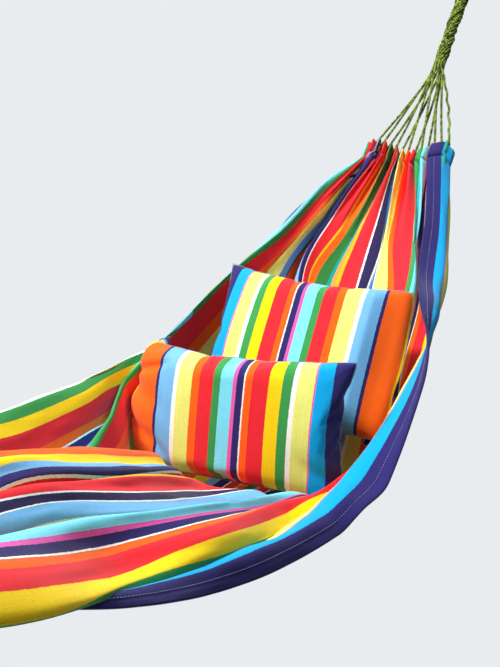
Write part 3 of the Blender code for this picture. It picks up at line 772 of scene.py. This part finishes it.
def build_strands(end, head):
    for i in range(STRANDS):
        route = strand_route(i, head)
        fine = resampled(route, 300)
        soup = Soup()
        soup.cord(fine, CORD, 2, CORD_LAY, sides=7, phase=i * 1.1)
        name = f"{end}_clew_strand_{i + 1:02d}"
        piece = show(f"{name}_laid", soup, green_cord, "hammock", [name])


def build_bundle(end, head):
    """The strands twisted round each other up to the neck of the eye."""
    hook, down, across = clew_frame(head)
    soup = Soup()
    t = np.linspace(0, 1, 120)
    top = BUNDLE_END - 0.004
    middle = hook + down * (BUNDLE_START + (top - BUNDLE_START) * t)[:, None]
    for i in range(STRANDS):
        radius = BUNDLE_RING + (RING - BUNDLE_RING) * np.exp(-t * 9)
        radius = radius + BUNDLE_UNEVEN * np.sin(t * 9 + i * 2.4) * np.sin(np.pi * t)
        ring = around(strand_angle(i) + 2 * np.pi * BUNDLE_TURNS * t, across)
        route = resampled(middle + ring * radius[:, None], 150)
        soup.cord(route, CORD, 2, CORD_LAY, phase=i * 1.7)
    show(f"{end}_clew_twist", soup, green_cord, "hammock", [f"{end}_clew_bundle"])


def eye_crown(head):
    """The middle of the eye's upper bend."""
    hook, down, _ = clew_frame(head)
    return hook + down * (EYE_CURVE - EYE_CORD)


def eye_path(head):
    """The eye's closed loop: round the crown and down both legs to the neck."""
    hook, down, _ = clew_frame(head)
    crown = eye_crown(head)
    leg = EYE_CORD + 2 * GAP
    foot = hook + down * (EYE_NECK - EYE_CORD - NECK_OVAL * leg)
    loop = []
    for turn in EYE_SHOULDER * np.linspace(-1, 1, 13):
        loop.append(crown + (SIDEWAYS * math.sin(turn) - down * math.cos(turn)) * EYE_CURVE)
    for turn in np.radians(np.arange(60, -61, -20)):
        loop.append(foot + SIDEWAYS * leg * math.sin(turn) + down * NECK_OVAL * leg * math.cos(turn))
    loop = np.array(loop)
    whole = np.concatenate([loop, loop, loop, loop[:1]])
    along = distances(whole)
    third = along[len(loop)]
    return hermite(along, whole, third + np.linspace(0, third, 260, endpoint=False))


def build_whipping(end, head):
    """Close turns of twine round a solid core, over the neck of the eye."""
    hook, down, across = clew_frame(head)
    soup = Soup()
    t = np.linspace(0, 1, WHIPPING_TURNS * 26)
    thread = WHIPPING_LENGTH / WHIPPING_TURNS / 2
    reach = BUNDLE_END - GAP - thread - (WHIPPING_LENGTH - 2 * thread) * t
    ring = around(2 * np.pi * WHIPPING_TURNS * t, across)
    soup.cord(hook + down * reach[:, None] + ring * (WHIPPING - thread), thread * 2, 2,
              WHIPPING_LAY, sides=5)
    core = hook + down * np.array([BUNDLE_END, BUNDLE_END - WHIPPING_LENGTH])[:, None]
    soup.tube(resampled(core, 6), WHIPPING - 1.7 * thread, sides=24)
    show(f"{end}_whipping_turns", soup, dark_twine, "hammock",
         [f"{end}_eye_whipping"])


def build_sleeve(end, head):
    """The leather sleeve round the eye's crown: an inner and an outer wall and two end rings."""
    down = clew_frame(head)[1]
    rows, columns = 14, 40
    place = np.linspace(-1, 1, rows + 1)[:, None]
    turn = 2 * np.pi * np.arange(columns)[None, :, None] / columns
    way = np.sin(SLEEVE_HALF_ANGLE * place) * SIDEWAYS - np.cos(SLEEVE_HALF_ANGLE * place) * down
    wall = way[:, None] * np.cos(turn) + np.cross(SIDEWAYS, down) * np.sin(turn)
    uvs = [(k / rows * SLEEVE_FLAT[0], i / columns * SLEEVE_FLAT[1])
           for k in range(rows + 1) for i in range(columns)]
    faces = quads(rows, columns, True)
    soup = Soup()
    for size, rounding in ((SLEEVE_BORE, SLEEVE_ROUNDING[1]), (SLEEVE_OUTER, -SLEEVE_ROUNDING[0])):
        radius = (size + rounding * place**8)[:, None]
        points = eye_crown(head) + way[:, None] * EYE_CURVE + wall * radius
        soup.add(points.reshape(-1, 3), faces if rounding < 0 else flipped_faces(faces), uvs)
    outer = len(uvs)
    for row in (0, rows * columns):
        for i in range(columns):
            j = (i + 1) % columns
            quad = (row + i, row + j, outer + row + j, outer + row + i)
            soup.faces.append(quad if row == 0 else quad[::-1])
    show(f"{end}_sleeve_leather", soup, leather, "hooks_side",
         [f"{end}_eye_sleeve"])


def build_eye(end, head):
    soup = Soup()
    soup.cord(eye_path(head), EYE_CORD * 2, 3, EYE_LAY, sides=8, closed=True)
    show(f"{end}_eye_rope", soup, green_cord, "hammock", [f"{end}_eye"])
    build_whipping(end, head)
    build_sleeve(end, head)


for end_name, is_head in (("head", True), ("foot", False)):
    build_strands(end_name, is_head)
    build_bundle(end_name, is_head)
    build_eye(end_name, is_head)

# ---------------------------------------------------------------- bed


def thicken(piece, thickness):
    shell = piece.modifiers.new("thickness", "SOLIDIFY")
    shell.thickness = thickness
    shell.offset = 0.0
    return shell


def build_bed():
    grid, shares, xs = bed_grid(BED_COLUMNS, BED_ROWS)
    grid = bed_wrinkles(grid, xs)
    steps = np.linalg.norm(np.diff(grid, axis=0), axis=2).mean(1)
    along = np.concatenate([[0], np.cumsum(steps)])
    soup = Soup()
    uvs = [(share * CLOTH_WIDTH, v) for v in along for share in shares]
    soup.add(grid.reshape(-1, 3), quads(BED_ROWS, BED_COLUMNS), uvs)
    bed = show("bed", soup, bed_cotton, "hammock", ["bed_cloth"])
    hem = bed.vertex_groups.new(name="thick")
    from_edge = np.minimum(shares, 1 - shares) * CLOTH_WIDTH
    in_hem = np.flatnonzero(from_edge <= SIDE_HEM).tolist()
    hem.add([j * (BED_COLUMNS + 1) + i for j in range(BED_ROWS + 1) for i in in_hem], 1.0, "REPLACE")
    shell = thicken(bed, CLOTH_THICKNESS * SIDE_HEM_LAYERS)
    shell.vertex_group = "thick"
    shell.thickness_vertex_group = 1 / SIDE_HEM_LAYERS
    over = outward(grid)
    seams = Soup()
    for column in (HEM_SEAM_COLUMN, BED_COLUMNS - HEM_SEAM_COLUMN):
        for face in (1, -1):
            lift = over[:, column] * face
            stitches(seams, grid[:, column] + lift * CLOTH_THICKNESS * 0.62, lift)
    rows = show("side_hem_stitching", seams, hem_thread, "hammock")
    return grid, along


def channel_profile():
    """The channel's section as (out from the clew's plane, up the clew), from hem to hem."""
    inside = CHANNEL_GAP / 2
    upright = CHANNEL_LENGTH - inside
    rows = [(inside * min(1.0, t * 3.0) ** 0.6, upright * t) for t in np.linspace(0, 1, 9)]
    for turn in math.pi * np.arange(1, 8) / 8:
        rows.append((inside * math.cos(turn), upright + inside * math.sin(turn)))
    for t in np.linspace(1, -0.30, 11):
        rows.append((-inside * min(1.0, max(0.18, t) * 3.0) ** 0.6, upright * t))
    return np.array(rows)


def build_channel(end, head, edge, v_start):
    """The end of the cloth folded back over the header cord and sewn down."""
    _, down, across = clew_frame(head)
    facing = across if head else -across
    shares = np.linspace(0, 1, BED_COLUMNS + 1)
    base = hem_line(shares, head)
    gathered = edge - base
    profile = channel_profile()
    out, up = profile.T[..., None, None]
    close = 1 - 0.25 * np.clip(up / CHANNEL_LENGTH, 0, 1)
    points = base[None] + gathered[None] * close - down * up + facing * out
    puckers = smooth_noise(points.shape[:2], (3, 70), 21 + head) * CHANNEL_PUCKER
    points = points + facing * puckers[..., None]
    soup = Soup()
    uvs = [(share * CLOTH_WIDTH, v_start + s) for s in distances(profile) for share in shares]
    soup.add(points.reshape(-1, 3), quads(len(profile) - 1, BED_COLUMNS), uvs)
    thicken(show(f"{end}_channel", soup, bed_cotton, "hammock",
                 [f"{end}_hem_channel"]), CLOTH_THICKNESS)
    seams = Soup()
    for face, row in ((facing, points[1]), (-facing, points[-3])):
        line = row + face * CLOTH_THICKNESS * 0.7
        stitches(seams, line, np.broadcast_to(face, line.shape), radius=0.00045)
    show(f"{end}_channel_stitching", seams, seam_thread, "hammock")
    soup = Soup()
    path = base + gathered * 0.8 - down * (CHANNEL_LENGTH - CHANNEL_GAP)
    soup.cord(resampled(path, 420), HEADER_CORD, 2, HEADER_LAY)
    show(f"{end}_header_laid", soup, green_cord, "hammock", [f"{end}_header_cord"])


bed_points, bed_along = build_bed()
build_channel("foot", False, bed_points[0], 0.0)
build_channel("head", True, bed_points[-1], bed_along[-1])

# ---------------------------------------------------------------- pillows


def pillow_grid():
    """A pillow as cut: points, faces, each point's place across and up it, and the seam's points.

    The places run from -1 to 1, and the two faces share the points of the seam.
    """
    a, b = np.meshgrid(2 * np.arange(PILLOW_COLUMNS + 1) / PILLOW_COLUMNS - 1,
                       2 * np.arange(PILLOW_ROWS + 1) / PILLOW_ROWS - 1)
    places = np.column_stack([a.ravel(), b.ravel()])
    bulge = PILLOW_BULGE * np.sqrt((1 - places**2).prod(1))
    front = np.column_stack([bulge, places * PILLOW_CUT / 2])
    off_seam = np.abs(places).max(1) < 1
    back = np.arange(len(front))
    index = back.reshape(a.shape).copy()
    back[off_seam] = len(front) + np.arange(off_seam.sum())
    faces = quads(PILLOW_ROWS, PILLOW_COLUMNS)
    back = back.tolist()
    faces += flipped_faces([tuple(back[k] for k in face) for face in faces])
    rim = np.concatenate([index[-1, :-1], index[:0:-1, -1], index[0, :0:-1], index[:-1, 0]])
    points = np.vstack([front, front[off_seam] * (-1, 1, 1)])
    return points, faces, np.vstack([places, places[off_seam]]), rim


def inflate(mesh):
    """Fill a closed mesh by a cloth simulation and return its points."""
    before = np.array([v.co for v in mesh.vertices])
    obj = bpy.data.objects.new("filling_run", mesh)
    scene = bpy.context.scene
    scene.collection.objects.link(obj)
    settings = obj.modifiers.new("cloth", "CLOTH").settings
    settings.quality = 6
    settings.mass = 0.25
    settings.air_damping = 3.0
    settings.tension_stiffness = FILL_STIFFNESS
    settings.compression_stiffness = FILL_STIFFNESS
    settings.shear_stiffness = 4.0
    settings.bending_stiffness = 0.15
    settings.use_pressure = True
    settings.uniform_pressure_force = FILL_PRESSURE
    settings.effector_weights.gravity = 0.0
    for frame_number in range(1, FILL_FRAMES + 1):
        scene.frame_set(frame_number)
    shown = obj.evaluated_get(bpy.context.evaluated_depsgraph_get())
    moved = np.array([v.co for v in shown.data.vertices]) - before
    scene.frame_set(1)
    bpy.data.objects.remove(obj)
    far = np.linalg.norm(moved, axis=1, keepdims=True)
    return before + moved * np.minimum(1.0, FILL_LIMIT / np.maximum(far, 1e-9))


def fit(points, size):
    """Scale the filled pillow to its real size, thickness included."""
    low, high = points.min(0), points.max(0)
    centre = (low + high) / 2
    return (points - centre) * (np.array([size[2], size[0], size[1]]) / (high - low))


def straight_zip_edge(points, places, height):
    """Draw the lower seam, where the zip is, to the zip's own line."""
    a, b = places.T
    held = np.clip(-b, 0, 1) ** 10 * (1 - np.clip((np.abs(a) - 0.55) / 0.3, 0, 1))
    at_edge = np.flatnonzero(np.abs(b + 1) < 1e-6)
    at_edge = at_edge[np.argsort(a[at_edge])]
    seam = -height / 2 * (1 - PILLOW_PINCH * (1 - a[at_edge]**6))
    moved = points.copy()
    moved[:, 2] += np.interp(a, a[at_edge], seam - points[at_edge, 2]) * held
    moved[:, 0] -= np.interp(a, a[at_edge], points[at_edge, 0]) * held
    return moved


def bent(points, bend):
    """Bend the end of a pillow that lies past a place along it back round an upright axis."""
    start, radius = bend
    side = math.copysign(1, start)
    past = np.maximum((points[:, 1] - start) * side, 0.0)
    turn = past / radius
    reach = radius - points[:, 0]
    moved = points.copy()
    over = past > 0
    moved[over, 0] = (radius - reach * np.cos(turn))[over]
    moved[over, 1] = (start + side * reach * np.sin(turn))[over]
    return moved


def crushed(points, places, dents):
    """Soft dents and folds pressed into the front face."""
    moved = points.copy()
    front = np.clip(-points[:, 0] / 0.010, 0, 1)
    for a, b, length, width, slant, depth in dents:
        da, db = (places - (a, b)).T
        along = da * math.cos(slant) + db * math.sin(slant)
        off = -da * math.sin(slant) + db * math.cos(slant)
        moved[:, 0] += depth * np.exp(-(along / length) ** 2 - (off / width) ** 2) * front
    return moved


def tucked(points, bend):
    """Flatten the end that is folded away, if the bend is a tight one."""
    start, radius = bend
    if radius >= TIGHT_BEND:
        return points
    past = np.sign(start) * points[:, 1] - abs(start) + TUCK_START
    moved = points.copy()
    moved[:, 0] *= 1 - TUCKED_FLATTER * np.clip(past / TUCK_REACH, 0, 1)
    return moved


def pillow_pose(centre, lean, turn, roll):
    pose = Matrix.Translation(centre)
    for degrees, axis in ((turn, "Z"), (roll, "X"), (lean, "Y")):
        pose = pose @ Matrix.Rotation(math.radians(degrees), 4, axis)
    return pose


def build_pillow(name, size, centre, lean, turn, roll, bend, flipped, dents):
    """One pillow: cover, seam cord, filling and zip."""
    pose = pillow_pose(centre, lean, turn, roll)
    points, faces, places, rim = pillow_grid()
    blank = bpy.data.meshes.new(f"{name}_blank")
    blank.from_pydata(points.tolist(), [], faces)
    plump = inflate(blank)
    plump = straight_zip_edge(fit(plump, size), places, size[1])
    plump = tucked(crushed(plump, places, dents), bend)
    shape = bent(plump, bend)
    u = (1 - places[:, 0]) / 2 * PILLOW_CUT[0]
    if flipped:
        u = PILLOW_CUT[0] - u
    soup = Soup()
    soup.add(shape, faces, np.column_stack([u, (1 + places[:, 1]) / 2 * PILLOW_CUT[1]]))
    cover = show(f"{name}_cotton", soup, pillow_cotton, name, [f"{name}_cover"],
                 pose)
    finer = cover.modifiers.new("finer", "SUBSURF")
    finer.levels = 1
    finer.render_levels = 1

    edge = resampled(np.vstack([shape[rim], shape[rim[:1]]]), 520)
    soup = Soup()
    soup.cord(edge[:-1], SEAM_CORD, 2, SEAM_LAY, sides=5, closed=True)
    show(f"{name}_seam", soup, hem_thread, name, pose=pose)
    build_filling(name, plump, faces, places, bend, pose)
    middle = -size[1] / 2 * (1 - PILLOW_PINCH) + COVER_THICKNESS
    build_zip(name, middle, pose)
    build_slider(name, middle - ZIP_TAPE / 2 - 2 * GAP - SLIDER[2] / 2, pose)


def build_filling(name, plump, faces, places, bend, pose):
    """The inner bag of fibre: the cover's shape drawn in from it, uneven by its own lumps."""
    lumps = smooth_noise((PILLOW_ROWS + 1, PILLOW_COLUMNS + 1), (9, 13), 61)
    counts = np.array([PILLOW_COLUMNS, PILLOW_ROWS])
    column, row = ((places + 1) / 2 * counts).round().astype(int).T
    inner = plump * FILLING_SHARE
    inner[:, 0] = plump[:, 0] * (FILLING_SHARE[0] + FILLING_LUMPS * lumps[row, column])
    soup = Soup()
    soup.add(bent(inner, bend), faces, places * 0.2)
    bag = show(f"{name}_fibre_bag", soup, felt, name, [f"{name}_filling"], pose)


def build_zip(name, middle, pose):
    """The closed coil zip in the lower seam: its tape and the two rows of its coil."""
    tape = Soup()
    wide = np.linspace(-1, 1, 9)
    along = np.linspace(-1, 1, 121)
    ripple = ZIP_TAPE_RIPPLE * np.sin(along * 190)[:, None] * (1 - np.abs(wide))[None]
    uvs = [(y * ZIP_HALF_LENGTH, x * ZIP_TAPE_WIDTH) for y in along for x in wide]
    faces = quads(len(along) - 1, len(wide) - 1)
    for face in (1, -1):
        sheet = np.zeros((len(along), len(wide), 3))
        sheet[..., 0] = wide[None] * ZIP_TAPE_WIDTH / 2
        sheet[..., 1] = along[:, None] * ZIP_HALF_LENGTH
        sheet[..., 2] = middle + face * (ZIP_TAPE / 2 - 0.0002) + ripple
        tape.add(sheet.reshape(-1, 3), faces if face == 1 else flipped_faces(faces), uvs)
    show(f"{name}_zip_strip", tape, zip_tape, name, [f"{name}_zip_tape"], pose)

    coil = Soup()
    turns = int(2 * ZIP_HALF_LENGTH / COIL_PITCH)
    angle = np.linspace(0, 2 * np.pi * turns, turns * 10)
    for side in (1, -1):
        line = np.stack([side * 0.00085 + 0.0010 * np.cos(angle),
                         np.linspace(-ZIP_HALF_LENGTH, ZIP_HALF_LENGTH, len(angle)),
                         middle - ZIP_TAPE / 2 + 0.0003 * np.sin(angle)], -1)
        coil.tube(line, COIL_WIRE, sides=5)
    show(f"{name}_zip_coil", coil, zip_coil, name, pose=pose)


def build_slider(name, under, pose):
    """The cast slider at the near end of the zip: a waisted body, its bridge and a ring pull."""
    start = SLIDER_START - ZIP_HALF_LENGTH
    turn = 2 * np.pi * np.arange(40) / 40
    c, s = np.cos(turn), np.sin(turn)
    x = np.sign(c) * np.abs(c) ** 0.6 * SLIDER[0] / 2 * (1 - 0.22 * (s > 0.3))
    y = np.sign(s) * np.abs(s) ** 0.6 * SLIDER[1] / 2
    grow, up = np.array(SLIDER_LEVELS).T[..., None]
    body = np.stack([x * grow, start + y * grow, under + SLIDER[2] * up + 0 * x], -1).reshape(-1, 3)
    sides = flipped_faces(quads(len(SLIDER_LEVELS) - 1, len(x), True))
    caps = [tuple(range(len(x))), tuple(reversed(range(len(body) - len(x), len(body))))]
    metal = Soup()
    metal.add(body, sides + caps, body[:, :2])
    low = under - SLIDER[2] / 2
    turn = np.linspace(0, math.pi, 12)
    bridge = np.stack([np.zeros(12), start + 0.0034 * np.cos(turn),
                       low - 0.0013 * np.sin(turn) + GAP], -1)
    metal.tube(bridge, SLIDER_WIRE, sides=8)
    turn = np.linspace(0, 2 * np.pi, 28, endpoint=False)
    pull = np.stack([0.0018 * np.sin(turn), start - 0.0030 + 0.0042 * np.cos(turn),
                     np.full(28, low - 0.0011)], -1)
    metal.tube(pull, 0.00042, sides=8, closed=True)
    show(f"{name}_slider_metal", metal, nickel, name.replace("pillow", "zip_slider"),
         [f"{name}_zip_slider"], pose)


build_pillow("front_pillow", *FRONT_PILLOW, True, FRONT_DENTS)
build_pillow("back_pillow", *BACK_PILLOW, False, BACK_DENTS)
